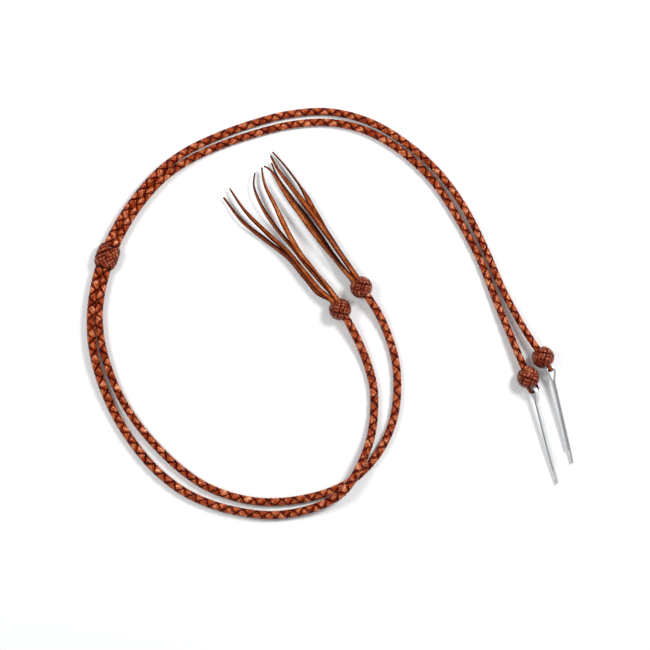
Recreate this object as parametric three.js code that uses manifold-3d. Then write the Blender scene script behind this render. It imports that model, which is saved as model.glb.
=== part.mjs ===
// Stampede string: the braided leather chin string of a riding hat.
//
// Two four-strand braids lie side by side in one open loop. Each ends in a
// round knot with a four-strip tassel at one end, and in a round knot with a
// cotter pin, which fastens it to the hat band, at the other. A slide knot
// holds the two braids together and runs along them.
//
// Millimetres, +Z up. The string lies on the surface z = 0.

import * as THREE from 'three';
import { mergeVertices } from 'three/addons/utils/BufferGeometryUtils.js';
import Module from 'manifold-3d';

const wasm = await Module();
wasm.setup();

// ---------------------------------------------------------------- sizes

const braid = { radius: 1.6, sides: 8, step: 9.6 };

const ball = { radius: 4.75, bore: 2.9, centreHeight: 4.45, sides: 32, rings: 20 };

const binding = { inner: 1.9, outer: 2.6, length: 2.6, setback: 2.2 };

const strip = { halfWidth: 1.0, halfThickness: 0.45, chamfer: 0.2, step: 3 };

// The four strips leave the knot two by two: side by side, one above the other.
const bundle = { sideways: 1.15, upwards: 0.6, rootDistance: 0.5, mouthDistance: 5.2 };

const wire = { halfWidth: 1.15, thickness: 1.05, legGap: 0.2, step: 0.7 };

// Lengths run from the pivot, the centre of the eye's round end.
const pin = {
  eyeInnerRadius: 1.2,
  waistStart: 2.5,
  waistHalfWidth: 1.24,
  eyeEnd: 4.6,
  straightStart: 6.6,
  shortLegEnd: 34.7,
  longLegEnd: 40.2,
  tipOffset: 0.44,
  pivotDistance: 6.4,
  slope: THREE.MathUtils.degToRad(4.6),
};

const strap = {
  halfWidth: 0.8,
  thickness: 0.9,
  legOffset: 2.05,
  cornerRadius: 1.2,
  legEnd: 5.6,
  step: 0.5,
};

// The braids follow two arcs about this centre where the slide knot runs.
const track = { x: -14, y: -3.5, radius: 86.3, slideAngle: THREE.MathUtils.degToRad(160.2) };

const slide = {
  length: 11.5,
  centreHeight: 3.0,
  cover: { halfWidth: 4.85, halfHeight: 3.0, corner: 2.7 },
  coverBore: { halfWidth: 4.35, halfHeight: 2.45, corner: 2.3 },
  sleeve: { halfWidth: 4.1, halfHeight: 2.2, corner: 2.1 },
  channel: { halfWidth: 3.75, halfHeight: 1.85, corner: 1.8 },
  sleeveLength: 10.5,
  rounding: 0.35,
  roundingLength: 1.3,
};

// ----------------------------------------------------------- the routes

// Middle lines of the two braids, from the tassel knot to the pin knot.
const braidRoutes = {
  a: [
    [2.5, 3.2, 4.45], [5.1, -0.8, 4.4], [9.4, -8.8, 3.0], [13.4, -18.4, 1.75],
    [16.2, -29.0, 1.65], [16.4, -40.0, 1.85], [15.2, -49.0, 3.1], [12.6, -57.0, 4.7],
    [8.6, -65.3, 5.3], [3.2, -72.7, 5.2], [-4.6, -77.7, 3.7], [-14.4, -81.1, 2.0],
    [-26.8, -82.6, 1.65], [-39.6, -81.2, 1.65], [-52.4, -77.8, 1.65], [-64.4, -72.0, 1.65],
    [-75.2, -63.4, 1.65], [-84.2, -52.8, 1.65], [-91.7, -40.9, 1.65], [-97.4, -27.7, 2.3],
    [-101.0, -14.0, 3.0], [-102.0, -0.5, 3.0], [-100.4, 13.3, 3.0], [-96.7, 26.4, 3.0],
    [-90.9, 38.7, 3.0], [-83.1, 50.4, 3.0], [-73.4, 61.3, 3.0], [-62.6, 69.5, 2.2],
    [-50.4, 75.6, 1.65], [-36.2, 80.9, 1.65], [-19.6, 85.3, 1.65], [-2.0, 86.4, 1.65],
    [15.0, 82.0, 1.65], [30.4, 72.8, 1.65], [44.0, 60.4, 1.65], [54.5, 45.8, 1.65],
    [63.2, 28.6, 1.65], [70.6, 11.4, 2.1], [79.6, -5.4, 3.8], [86.6, -16.0, 4.45],
  ],
  b: [
    [11.3, 12.4, 4.45], [13.9, 8.7, 4.4], [18.2, 2.0, 3.1], [22.4, -7.4, 1.75],
    [25.4, -18.0, 1.65], [26.2, -29.6, 1.65], [24.8, -41.4, 1.65], [20.6, -52.5, 1.65],
    [14.2, -61.6, 1.65], [6.4, -68.5, 1.65], [-2.4, -72.8, 1.65], [-11.6, -75.4, 1.65],
    [-22.0, -76.9, 1.65], [-32.6, -76.8, 1.65], [-43.4, -74.6, 1.65], [-54.5, -70.2, 1.65],
    [-64.8, -63.1, 1.65], [-74.2, -54.3, 1.65], [-82.7, -44.3, 1.65], [-89.8, -33.0, 1.75],
    [-94.8, -20.8, 2.6], [-97.8, -8.8, 3.0], [-98.5, 3.6, 3.0], [-96.6, 15.2, 3.0],
    [-93.2, 26.4, 3.0], [-87.2, 38.9, 3.0], [-79.0, 50.7, 3.0], [-70.0, 59.9, 3.0],
    [-59.4, 67.0, 2.1], [-47.2, 72.6, 1.65], [-33.6, 77.2, 1.65], [-18.6, 80.9, 1.65],
    [-2.0, 81.9, 1.65], [13.2, 78.4, 1.65], [28.4, 69.6, 1.65], [41.0, 57.6, 1.65],
    [51.2, 42.6, 1.65], [60.4, 25.4, 1.65], [68.4, 5.2, 2.2], [80.5, -24.4, 4.45],
  ],
};

// Free lengths of the tassel strips, from the knot's mouth to the tip.
const tassels = {
  a: [
    { side: -1, layer: -1, route: [
      [-7.2, 10.8, 3.3], [-12.6, 17.3, 2.6], [-19.6, 25.4, 2.0], [-29.0, 32.7, 2.2],
      [-38.8, 40.6, 2.6], [-46.7, 50.6, 1.6]] },
    { side: -1, layer: 1, route: [
      [-6.6, 11.9, 4.8], [-12.2, 18.5, 4.4], [-18.8, 26.6, 4.2], [-28.0, 35.2, 4.2],
      [-37.2, 44.4, 3.6], [-44.0, 54.2, 2.4]] },
    { side: 1, layer: -1, route: [
      [-4.6, 14.0, 3.3], [-10.6, 20.8, 2.8], [-17.5, 29.2, 2.4], [-25.2, 38.6, 2.6],
      [-31.2, 48.0, 3.4], [-33.9, 55.5, 3.4], [-33.5, 60.7, 2.6]] },
    { side: 1, layer: 1, route: [
      [-3.5, 13.6, 5.0], [-8.9, 20.2, 5.2], [-14.6, 27.0, 5.4], [-19.4, 35.4, 5.2],
      [-25.0, 47.0, 4.4], [-29.3, 56.0, 3.6], [-30.6, 63.0, 3.0]] },
  ],
  b: [
    { side: 1, layer: -1, route: [
      [3.4, 25.4, 3.4], [-3.4, 35.8, 3.2], [-8.6, 44.8, 3.4], [-14.0, 54.4, 3.2],
      [-20.4, 63.2, 2.2], [-26.1, 69.7, 1.4]] },
    { side: 1, layer: 1, route: [
      [2.4, 26.4, 5.6], [-4.6, 36.6, 5.8], [-11.2, 45.8, 5.6], [-17.6, 54.0, 4.8],
      [-23.4, 61.6, 3.6], [-26.9, 67.9, 2.6]] },
    { side: -1, layer: -1, route: [
      [0.2, 24.8, 3.2], [-6.6, 34.8, 3.0], [-13.4, 44.2, 3.0], [-19.8, 52.8, 3.0],
      [-24.4, 59.8, 2.2], [-26.6, 65.1, 1.0]] },
    { side: -1, layer: 1, route: [
      [0.0, 24.4, 5.3], [-7.6, 34.0, 5.6], [-14.6, 43.6, 5.8], [-20.9, 52.2, 6.0],
      [-24.6, 58.6, 5.6], [-27.0, 61.8, 5.0], [-29.5, 63.4, 4.2]] },
  ],
};

// Where each knot sits, and which way the tassel or the pin leaves it.
const degrees = THREE.MathUtils.degToRad;
const tasselKnots = {
  a: { x: 2.2, y: 3.6, heading: degrees(122) },
  b: { x: 11.0, y: 12.8, heading: degrees(126.2) },
};
const pinEnds = {
  a: { x: 86.9, y: -16.4, heading: degrees(-58.7), pinHeading: degrees(-76.7), roll: 0 },
  b: { x: 80.7, y: -24.8, heading: degrees(-66), pinHeading: degrees(-75.5), roll: degrees(60) },
};

// ------------------------------------------------------------ materials

const leather = (color, roughness) => new THREE.MeshStandardMaterial({ color, roughness });
const materials = {
  braid: () => leather(0x8a4328, 0.42),
  knot: () => leather(0x7c3820, 0.4),
  strip: () => leather(0x7e4427, 0.6),
  strap: () => leather(0x6e371f, 0.6),
  sleeve: () => leather(0x5d2f1c, 0.75),
  thread: () => leather(0x3a2318, 0.8),
  steel: () => new THREE.MeshStandardMaterial({ color: 0xd4d6d8, roughness: 0.25, metalness: 1 }),
};

// -------------------------------------------------------------- helpers

function solidOf(geometry) {
  const bare = geometry.clone();
  bare.deleteAttribute('normal');
  bare.deleteAttribute('uv');
  const merged = mergeVertices(bare);
  return new wasm.Manifold(new wasm.Mesh({
    numProp: 3,
    vertProperties: merged.attributes.position.array,
    triVerts: Uint32Array.from(merged.index.array),
  }));
}

function geometryOf(solid) {
  const mesh = solid.getMesh();
  const geometry = new THREE.BufferGeometry();
  geometry.setAttribute('position', new THREE.BufferAttribute(mesh.vertProperties, 3));
  geometry.setIndex(new THREE.BufferAttribute(mesh.triVerts, 1));
  geometry.computeVertexNormals();
  return geometry;
}

function named(name, geometry, material) {
  const mesh = new THREE.Mesh(geometry, material);
  mesh.name = name;
  return mesh;
}

// A group whose X axis points along the heading, tilted down and rolled about itself.
function placed(x, y, z, heading, slope = 0, roll = 0) {
  const group = new THREE.Group();
  group.position.set(x, y, z);
  group.rotation.set(roll, slope, heading, 'ZYX');
  return group;
}

function smoothPath(points) {
  return new THREE.CatmullRomCurve3(points.map(([x, y, z]) => new THREE.Vector3(x, y, z)));
}

function sweep(section, path, step) {
  const steps = Math.round(path.getLength() / step);
  return new THREE.ExtrudeGeometry(section, {
    extrudePath: path, steps, curveSegments: 8, bevelEnabled: false,
  });
}

// Cylinder about the X axis.
function rodAlongX(radius, length) {
  return new THREE.CylinderGeometry(radius, radius, length, ball.sides).rotateZ(Math.PI / 2);
}

// ------------------------------------------------------ braids and knots

function braidSection() {
  const corner = (index) => {
    const angle = ((index + 0.5) / braid.sides) * 2 * Math.PI;
    return new THREE.Vector2(Math.cos(angle), Math.sin(angle)).multiplyScalar(braid.radius);
  };
  return new THREE.Shape(Array.from({ length: braid.sides }, (_, index) => corner(index)));
}

function braidGeometry(route) {
  return sweep(braidSection(), smoothPath(route), braid.step);
}

// A ball bored along X, with a small flat underneath where it rests.
function ballGeometry() {
  const block = new THREE.BoxGeometry(4 * ball.radius, 4 * ball.radius, ball.radius);
  block.translate(0, 0, -ball.centreHeight - ball.radius / 2);
  const sphere = new THREE.SphereGeometry(ball.radius, ball.sides, ball.rings);
  return geometryOf(solidOf(sphere)
    .subtract(solidOf(rodAlongX(ball.bore, 4 * ball.radius)))
    .subtract(solidOf(block)));
}

// The thread whipping around the braid's end, inside the knot.
function bindingGeometry() {
  const ring = solidOf(rodAlongX(binding.outer, binding.length))
    .subtract(solidOf(rodAlongX(binding.inner, 2 * binding.length)));
  return geometryOf(ring).translate(-binding.setback, 0, 0);
}

function boundKnot(prefix, letter, { x, y, heading }) {
  const group = placed(x, y, ball.centreHeight, heading);
  group.add(named(`${prefix}_knot_${letter}`, ballGeometry(), materials.knot()));
  group.add(named(`${prefix}_binding_${letter}`, bindingGeometry(), materials.thread()));
  return group;
}

// --------------------------------------------------------------- tassels

function stripSection() {
  const { halfThickness: t, halfWidth: w, chamfer: c } = strip;
  const corners = [
    [t - c, -w], [t, c - w], [t, w - c], [t - c, w],
    [c - t, w], [-t, w - c], [-t, c - w], [c - t, -w],
  ];
  return new THREE.Shape(corners.map(([x, y]) => new THREE.Vector2(x, y)));
}

// A point of the strip bundle, this far out along the knot's axis.
function bundlePoint(knot, distance, side, layer) {
  const along = [Math.cos(knot.heading), Math.sin(knot.heading)];
  const across = side * bundle.sideways;
  return [
    knot.x + distance * along[0] + across * along[1],
    knot.y + distance * along[1] - across * along[0],
    ball.centreHeight + layer * bundle.upwards,
  ];
}

function tassel(letter) {
  const knot = tasselKnots[letter];
  const group = new THREE.Group();
  tassels[letter].forEach(({ side, layer, route }, index) => {
    const root = bundlePoint(knot, bundle.rootDistance, side, layer);
    const mouth = bundlePoint(knot, bundle.mouthDistance, side, layer);
    const geometry = sweep(stripSection(), smoothPath([root, mouth, ...route]), strip.step);
    group.add(named(`tassel_${letter}_strip_${index + 1}`, geometry, materials.strip()));
  });
  return group;
}

// ----------------------------------------------------------- cotter pins

// Half-round wire: the flat side faces into the eye and between the legs.
function wireSection() {
  const half = wire.thickness / 2;
  const section = new THREE.Shape();
  section.moveTo(-wire.halfWidth, -half);
  section.lineTo(wire.halfWidth, -half);
  section.absellipse(0, -half, wire.halfWidth, wire.thickness, 0, Math.PI);
  return section;
}

// The wire's middle line: up the short leg, round the eye, down the long leg.
function pinPath() {
  const leg = (wire.legGap + wire.thickness) / 2;
  const eye = pin.eyeInnerRadius + wire.thickness / 2;
  const shortSide = [
    [pin.shortLegEnd, -leg, 0],
    [pin.shortLegEnd / 2, -leg, 0],
    [pin.straightStart, -leg, 0],
    [pin.eyeEnd, -leg, 0],
    [pin.waistStart, -pin.waistHalfWidth, 0],
  ];
  const bends = [-90, -125, -155, 180, 155, 125, 90].map(degrees);
  const round = bends.map((angle) => [eye * Math.cos(angle), eye * Math.sin(angle), 0]);
  const longSide = shortSide.map(([x, y, z]) => [x, -y, z]).reverse();
  return smoothPath([...shortSide, ...round, ...longSide, [pin.longLegEnd, pin.tipOffset, 0]]);
}

// The pin swings about this point: the centre of its eye's round end.
function pivotOf(end) {
  const x = end.x + pin.pivotDistance * Math.cos(end.heading);
  const y = end.y + pin.pivotDistance * Math.sin(end.heading);
  return [x, y, ball.centreHeight];
}

function cotterPin(letter) {
  const end = pinEnds[letter];
  const group = placed(...pivotOf(end), end.pinHeading, pin.slope, end.roll);
  const geometry = sweep(wireSection(), pinPath(), wire.step);
  group.add(named(`cotter_pin_${letter}`, geometry, materials.steel()));
  return group;
}

// The leather strap that comes out of the knot, through the pin's eye and back.
function strapPath() {
  const { legOffset, cornerRadius, legEnd } = strap;
  const inset = legOffset - cornerRadius;
  const path = new THREE.CurvePath();
  const point = (x, z) => new THREE.Vector3(x, 0, z);
  const corner = (from, middle, to) => new THREE.QuadraticBezierCurve3(from, middle, to);
  path.add(new THREE.LineCurve3(point(legEnd, legOffset), point(cornerRadius, legOffset)));
  path.add(corner(point(cornerRadius, legOffset), point(0, legOffset), point(0, inset)));
  path.add(new THREE.LineCurve3(point(0, inset), point(0, -inset)));
  path.add(corner(point(0, -inset), point(0, -legOffset), point(cornerRadius, -legOffset)));
  path.add(new THREE.LineCurve3(point(cornerRadius, -legOffset), point(legEnd, -legOffset)));
  return path;
}

function strapLoop(letter) {
  const end = pinEnds[letter];
  const group = placed(...pivotOf(end), end.heading + Math.PI, 0, -end.roll);
  const half = strap.thickness / 2;
  const section = new THREE.Shape([
    new THREE.Vector2(-half, -strap.halfWidth),
    new THREE.Vector2(half, -strap.halfWidth),
    new THREE.Vector2(half, strap.halfWidth),
    new THREE.Vector2(-half, strap.halfWidth),
  ]);
  const geometry = sweep(section, strapPath(), strap.step);
  group.add(named(`pin_loop_${letter}`, geometry, materials.strap()));
  return group;
}

// ------------------------------------------------------------ slide knot

function roundedRectangle({ halfWidth, halfHeight, corner }) {
  const x = halfWidth - corner;
  const y = halfHeight - corner;
  const turn = Math.PI / 2;
  const shape = new THREE.Shape();
  shape.absarc(x, y, corner, 0, turn);
  shape.absarc(-x, y, corner, turn, 2 * turn);
  shape.absarc(-x, -y, corner, 2 * turn, 3 * turn);
  shape.absarc(x, -y, corner, 3 * turn, 4 * turn);
  return shape;
}

// A bar of rounded section along Y. Its ends shrink by the rounding.
function roundedBar(size, length, rounding = 0, roundingLength = 0) {
  const core = {
    halfWidth: size.halfWidth - rounding,
    halfHeight: size.halfHeight - rounding,
    corner: size.corner - rounding,
  };
  const depth = length - 2 * roundingLength;
  return new THREE.ExtrudeGeometry(roundedRectangle(core), {
    depth,
    curveSegments: 8,
    bevelEnabled: rounding > 0,
    bevelSize: rounding,
    bevelThickness: roundingLength,
    bevelSegments: 4,
  }).translate(0, 0, -depth / 2).rotateX(-Math.PI / 2);
}

function hollowBar(outer, inner, length) {
  return geometryOf(solidOf(outer).subtract(solidOf(roundedBar(inner, 2 * length))));
}

function slideKnot() {
  const x = track.x + track.radius * Math.cos(track.slideAngle);
  const y = track.y + track.radius * Math.sin(track.slideAngle);
  const group = placed(x, y, slide.centreHeight, track.slideAngle);
  const cover = roundedBar(slide.cover, slide.length, slide.rounding, slide.roundingLength);
  const sleeve = roundedBar(slide.sleeve, slide.sleeveLength);
  group.add(named('slide_knot',
    hollowBar(cover, slide.coverBore, slide.length), materials.knot()));
  group.add(named('slide_sleeve',
    hollowBar(sleeve, slide.channel, slide.length), materials.sleeve()));
  return group;
}

// -------------------------------------------------------------- assembly

const stampedeString = new THREE.Group();

for (const letter of ['a', 'b']) {
  const tube = named(`cord_${letter}`, braidGeometry(braidRoutes[letter]), materials.braid());
  stampedeString.add(tube);
  stampedeString.add(boundKnot('tassel', letter, tasselKnots[letter]));
  stampedeString.add(tassel(letter));
  stampedeString.add(boundKnot('pin', letter, pinEnds[letter]));
  stampedeString.add(strapLoop(letter));
  stampedeString.add(cotterPin(letter));
}
stampedeString.add(slideKnot());

export default stampedeString;
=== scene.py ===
"""The looks of a stampede string, the braided leather chin string of a riding hat.

Two four-strand braids lie side by side in an open loop. Each ends in a woven knot
with a tassel, and in a woven knot with a cotter pin. A woven slide knot holds both.
Metres, +Z up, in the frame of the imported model. Sizes named *_MM are millimetres.
"""

import math

import bpy
import numpy as np
from mathutils import Matrix, Vector


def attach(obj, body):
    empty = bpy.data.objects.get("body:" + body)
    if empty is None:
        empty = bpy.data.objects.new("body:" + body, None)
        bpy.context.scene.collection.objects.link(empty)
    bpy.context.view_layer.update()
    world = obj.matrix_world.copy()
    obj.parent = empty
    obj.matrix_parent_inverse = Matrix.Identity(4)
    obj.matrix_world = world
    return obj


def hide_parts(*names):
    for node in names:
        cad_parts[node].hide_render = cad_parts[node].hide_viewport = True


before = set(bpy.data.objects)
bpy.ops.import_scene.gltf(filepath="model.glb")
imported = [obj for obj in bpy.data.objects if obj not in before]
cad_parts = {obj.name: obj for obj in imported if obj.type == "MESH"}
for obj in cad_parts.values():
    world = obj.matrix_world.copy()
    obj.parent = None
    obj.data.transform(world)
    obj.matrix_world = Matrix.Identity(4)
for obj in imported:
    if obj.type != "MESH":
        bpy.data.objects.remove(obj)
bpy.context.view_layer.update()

MM = 0.001
X_AXIS = np.array([1.0, 0.0, 0.0])
Y_AXIS = np.array([0.0, 1.0, 0.0])
Z_AXIS = np.array([0.0, 0.0, 1.0])
TURN = 2 * math.pi

# ------------------------------------------------------------------ camera

VIEW_CENTRE_MM = (-4.1, -2.9)
VIEW_WIDTH_MM = 273.0
CAMERA_HEIGHT_MM = 700.0
SENSOR_WIDTH = 36.0


def make_camera():
    data = bpy.data.cameras.new("camera")
    data.sensor_width = SENSOR_WIDTH
    data.lens = SENSOR_WIDTH * CAMERA_HEIGHT_MM / VIEW_WIDTH_MM
    camera = bpy.data.objects.new("camera", data)
    camera.location = Vector((*VIEW_CENTRE_MM, CAMERA_HEIGHT_MM)) * MM
    bpy.context.scene.collection.objects.link(camera)
    bpy.context.scene.camera = camera


make_camera()

# ------------------------------------------------------------------- paths

SAMPLES_PER_SEGMENT = 48


def unit(vectors):
    return vectors / np.linalg.norm(vectors, axis=-1, keepdims=True)


def catmull_rom(points):
    """Dense samples of the centripetal Catmull-Rom curve through the points."""
    points = np.asarray(points, float)
    before = 2 * points[0] - points[1]
    after = 2 * points[-1] - points[-2]
    points = np.vstack([before, points, after])
    weight = np.linspace(0, 1, SAMPLES_PER_SEGMENT, endpoint=False)[:, None]
    pieces = []
    for p0, p1, p2, p3 in zip(points, points[1:], points[2:], points[3:]):
        d0, d1, d2 = (math.sqrt(np.linalg.norm(b - a)) for a, b in ((p0, p1), (p1, p2), (p2, p3)))
        m1 = ((p1 - p0) / d0 - (p2 - p0) / (d0 + d1) + (p2 - p1) / d1) * d1
        m2 = ((p2 - p1) / d1 - (p3 - p1) / (d1 + d2) + (p3 - p2) / d2) * d1
        square = -3 * p1 + 3 * p2 - 2 * m1 - m2
        cube = 2 * p1 - 2 * p2 + m1 + m2
        pieces.append(p1 + m1 * weight + square * weight**2 + cube * weight**3)
    return np.vstack([*pieces, points[-2:-1]])


class Path:
    """A line with a side and an up direction at every point. Lengths in metres."""

    def __init__(self, samples, normal=Z_AXIS):
        steps = np.linalg.norm(np.diff(samples, axis=0), axis=1)
        self.along = np.concatenate([[0.0], np.cumsum(steps)])
        self.length = float(self.along[-1])
        self.samples = samples
        self.tangents = unit(np.gradient(samples, self.along, axis=0))
        self.sides = unit(np.cross(self.tangents, normal))
        self.ups = np.cross(self.sides, self.tangents)

    def read(self, values, at):
        columns = [np.interp(at, self.along, values[:, i]) for i in range(3)]
        return np.stack(columns, axis=-1)

    def at(self, at):
        """Points, sides and ups at these distances along the path."""
        at = np.clip(at, 0, self.length)
        return self.read(self.samples, at), self.read(self.sides, at), self.read(self.ups, at)


# ------------------------------------------------------------------ meshes


def grid_faces(rings, points, closed_length, offset=0):
    """Quads between neighbouring rings of points; each ring is closed."""
    last = rings if closed_length else rings - 1
    row = np.arange(last)[:, None]
    column = np.arange(points)[None, :]
    after_row = (row + 1) % rings
    after_column = (column + 1) % points
    corners = [
        row * points + column,
        row * points + after_column,
        after_row * points + after_column,
        after_row * points + column,
    ]
    return np.stack(corners, axis=-1).reshape(-1, 4) + offset


class Builder:
    """Collects swept bodies and makes one mesh object of them.

    Each point keeps a "lace" vector: millimetres along the lace, place across it
    from -1 to 1, and the lace's own tint from 0 to 1. Its "depth" goes from 0 where
    the lace lies on top to 1 where it is tucked under another.
    """

    def __init__(self):
        self.points = []
        self.lace = []
        self.depth = []
        self.quads = []
        self.caps = []
        self.count = 0

    def add(self, rings, along, across, tint, depth=0.0, closed=False, flip=False):
        """rings is (rings, points in a ring, 3)."""
        rows, columns = rings.shape[:2]
        faces = grid_faces(rows, columns, closed, self.count)
        first = np.arange(columns) + self.count
        last = first + (rows - 1) * columns
        if flip:
            faces = faces[:, ::-1]
            first, last = last, first
        self.quads.append(faces)
        if not closed:
            self.caps.append(first.tolist())
            self.caps.append(last[::-1].tolist())
        lace = np.zeros((rows, columns, 3))
        lace[..., 0] = np.asarray(along).reshape(rows, -1) / MM
        lace[..., 1] = across
        lace[..., 2] = tint
        self.points.append(rings.reshape(-1, 3))
        self.lace.append(lace.reshape(-1, 3))
        self.depth.append(np.broadcast_to(depth, (rows, columns)).ravel())
        self.count += rows * columns

    def build(self, name, material, matrix=None, floor=None):
        points = np.concatenate(self.points)
        if matrix is not None:
            points = points @ np.array(matrix.to_3x3()).T + np.array(matrix.translation)
        if floor is not None:
            points[:, 2] = np.maximum(points[:, 2], floor)
        quads = np.concatenate(self.quads)
        mesh = bpy.data.meshes.new(name)
        mesh.from_pydata(points.tolist(), [], quads.tolist() + self.caps)
        mesh.shade_smooth()
        lace = mesh.attributes.new("lace", "FLOAT_VECTOR", "POINT")
        lace.data.foreach_set("vector", np.concatenate(self.lace).astype(np.float32).ravel())
        depth = mesh.attributes.new("depth", "FLOAT", "POINT")
        depth.data.foreach_set("value", np.concatenate(self.depth).astype(np.float32))
        mesh.materials.append(material)
        piece = bpy.data.objects.new(name, mesh)
        bpy.context.scene.collection.objects.link(piece)
        return piece


# A flat lace: crowned above, with rounded edges. Across and up, as shares of the half sizes.
LACE_SECTION = np.array([
    (-1.0, -0.9), (-1.0, 0.2), (-0.93, 0.72), (-0.72, 0.96), (0.0, 1.0),
    (0.72, 0.96), (0.93, 0.72), (1.0, 0.2), (1.0, -0.9),
])
SECTION_ACROSS = LACE_SECTION[:, 0]
SECTION_UP = LACE_SECTION[:, 1]
CROWN_POWER = 2.4


def plateau(value, hardness):
    """A wave flattened towards -1 and 1."""
    return np.tanh(hardness * value) / math.tanh(hardness)


def placed(position_mm, heading=0.0, slope=0.0, roll=0.0):
    turn = Matrix.Rotation(heading, 4, "Z") @ Matrix.Rotation(slope, 4, "Y")
    turn = turn @ Matrix.Rotation(roll, 4, "X")
    return Matrix.Translation(Vector(position_mm) * MM) @ turn


# --------------------------------------------------------------- materials

# Noise scales, in cells for each metre.
BLOTCH_SCALE = 230.0
WRINKLE_SCALE = 1500.0
PORE_SCALE = 5200.0
FUZZ_SCALE = 4000.0
SPOT_SCALE = 900.0
# The middle of a noise's range, where nearly all its values are.
NOISE_LOW = 0.3
NOISE_HIGH = 0.7
# Streaks run with the lace: slow along it, quick across it, other on each lace.
STREAK_ALONG = 0.26
STREAK_ACROSS = 2.6
STREAK_TINT = 37.0
STREAK_SCALE = 2.0
# How much each part lightens the leather; the crest's part is painted highlight on the lace's top,
# together with its wear.
BLOTCH_SHARE = 0.20
STREAK_SHARE = 0.50
WRINKLE_SHARE = 0.18
PORE_SHARE = 0.12
TINT_SHARE = 0.08
CREST_HIGHLIGHT_SHARE = 0.22
# Places of the dark, middle, light and worn colours; the worn colour, reached on the crest, is
# painted highlight as well as wear.
SHADE_STOPS = (0.57, 0.67, 0.77, 0.87)
CREST_POWER = 2.6
RIM_POWER = 18.0
# Depths between which the crest's painted highlight and wear fade, and the share of it that is
# left.
CREST_FADE = (0.3, 0.6)
CREST_LEFT = 0.4
# Depths between which a lace goes dark with painted shade where it is tucked under, and the least
# darkness of a cut edge.
TUCK_SHADE_FADE = (0.46, 0.62)
RIM_LEAST = 0.6
# How much smoother and rougher than its gloss the leather gets, and its edges.
POLISH_SPREAD = (-0.06, 0.08)
RIM_DULLNESS = 0.25
LEATHER_SHEEN = (1.0, 0.30, 0.13, 1.0)
LEATHER_SPECULAR = 0.24
COAT_ROUGHNESS = 0.12
WRINKLE_DEPTH = 0.00012
STREAK_DEPTH = 0.00008
PORE_DEPTH = 0.00004
# Slant of the thread's plies, in radians for each millimetre.
PLY_SLANT = 9.0
PLY_DEPTH = 0.0001
WIRE_LINES_ALONG = 0.12
WIRE_LINES_ACROSS = 9.0
WIRE_LINE_DEPTH = 0.00002
WIRE_METALLIC = 0.7
# Painted shade on the wire's edges: how narrow it is, and its colour.
WIRE_RIM_POWER = 10.0
WIRE_RIM_SHADE = (0.14, 0.14, 0.15, 1.0)


class Graph:
    """A material's node tree, written with short calls."""

    def __init__(self, name):
        self.material = bpy.data.materials.new(name)
        self.material.use_nodes = True
        self.tree = self.material.node_tree
        self.shader = self.tree.nodes["Principled BSDF"]

    def node(self, kind, **settings):
        made = self.tree.nodes.new(kind)
        for key, value in settings.items():
            setattr(made, key, value)
        return made

    def feed(self, target, value):
        if isinstance(value, bpy.types.NodeSocket):
            self.tree.links.new(value, target)
        else:
            target.default_value = value

    def maths(self, operation, *values):
        made = self.node("ShaderNodeMath", operation=operation)
        for target, value in zip(made.inputs, values):
            self.feed(target, value)
        return made.outputs[0]

    def noise(self, vector, scale, detail=3.0, roughness=0.55):
        made = self.node("ShaderNodeTexNoise")
        self.feed(made.inputs["Vector"], vector)
        made.inputs["Scale"].default_value = scale
        made.inputs["Detail"].default_value = detail
        made.inputs["Roughness"].default_value = roughness
        return made.outputs["Fac"]

    def remap(self, value, low, high, new_low, new_high):
        made = self.node("ShaderNodeMapRange")
        made.inputs["From Min"].default_value = low
        made.inputs["From Max"].default_value = high
        made.inputs["To Min"].default_value = new_low
        made.inputs["To Max"].default_value = new_high
        self.feed(made.inputs["Value"], value)
        return made.outputs[0]

    def spread(self, noise, new_low, new_high):
        """The middle of a noise's range, stretched to a new one."""
        return self.remap(noise, NOISE_LOW, NOISE_HIGH, new_low, new_high)

    def sum_of(self, *shares):
        """The sum of (value, weight) pairs."""
        value, weight = shares[0]
        total = self.maths("MULTIPLY", value, weight)
        for value, weight in shares[1:]:
            total = self.maths("MULTIPLY_ADD", value, weight, total)
        return total

    def power_across(self, across, power):
        """0 on the lace's middle line and 1 at its edges."""
        return self.maths("POWER", self.maths("ABSOLUTE", across), power)

    def ramp(self, value, stops):
        made = self.node("ShaderNodeValToRGB")
        elements = made.color_ramp.elements
        while len(elements) < len(stops):
            elements.new(0.5)
        for element, (place, colour) in zip(elements, stops):
            element.position = place
            element.color = (*colour, 1.0)
        self.feed(made.inputs["Fac"], value)
        return made.outputs["Color"]

    def mix(self, factor, first, second):
        made = self.node("ShaderNodeMix", data_type="RGBA")
        sockets = {s.identifier: s for s in made.inputs}
        self.feed(sockets["Factor_Float"], factor)
        self.feed(sockets["A_Color"], first)
        self.feed(sockets["B_Color"], second)
        return next(s for s in made.outputs if s.identifier == "Result_Color")

    def bump(self, height, distance, strength, normal=None):
        made = self.node("ShaderNodeBump")
        made.inputs["Strength"].default_value = strength
        made.inputs["Distance"].default_value = distance
        self.feed(made.inputs["Height"], height)
        if normal is not None:
            self.feed(made.inputs["Normal"], normal)
        return made.outputs["Normal"]

    def set(self, **values):
        for name, value in values.items():
            self.feed(self.shader.inputs[name.replace("_", " ")], value)


def lace_parts(graph):
    """Millimetres along the lace, place across it, and its tint."""
    lace = graph.node("ShaderNodeAttribute", attribute_name="lace")
    parts = graph.node("ShaderNodeSeparateXYZ")
    graph.feed(parts.inputs[0], lace.outputs["Vector"])
    return parts.outputs


def lace_streaks(graph, along, across, tint):
    place = graph.node("ShaderNodeCombineXYZ")
    graph.feed(place.inputs[0], graph.maths("MULTIPLY", along, STREAK_ALONG))
    graph.feed(place.inputs[1], graph.maths("MULTIPLY", across, STREAK_ACROSS))
    graph.feed(place.inputs[2], graph.maths("MULTIPLY", tint, STREAK_TINT))
    return graph.noise(place.outputs[0], STREAK_SCALE, 4.0, 0.6)


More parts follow.
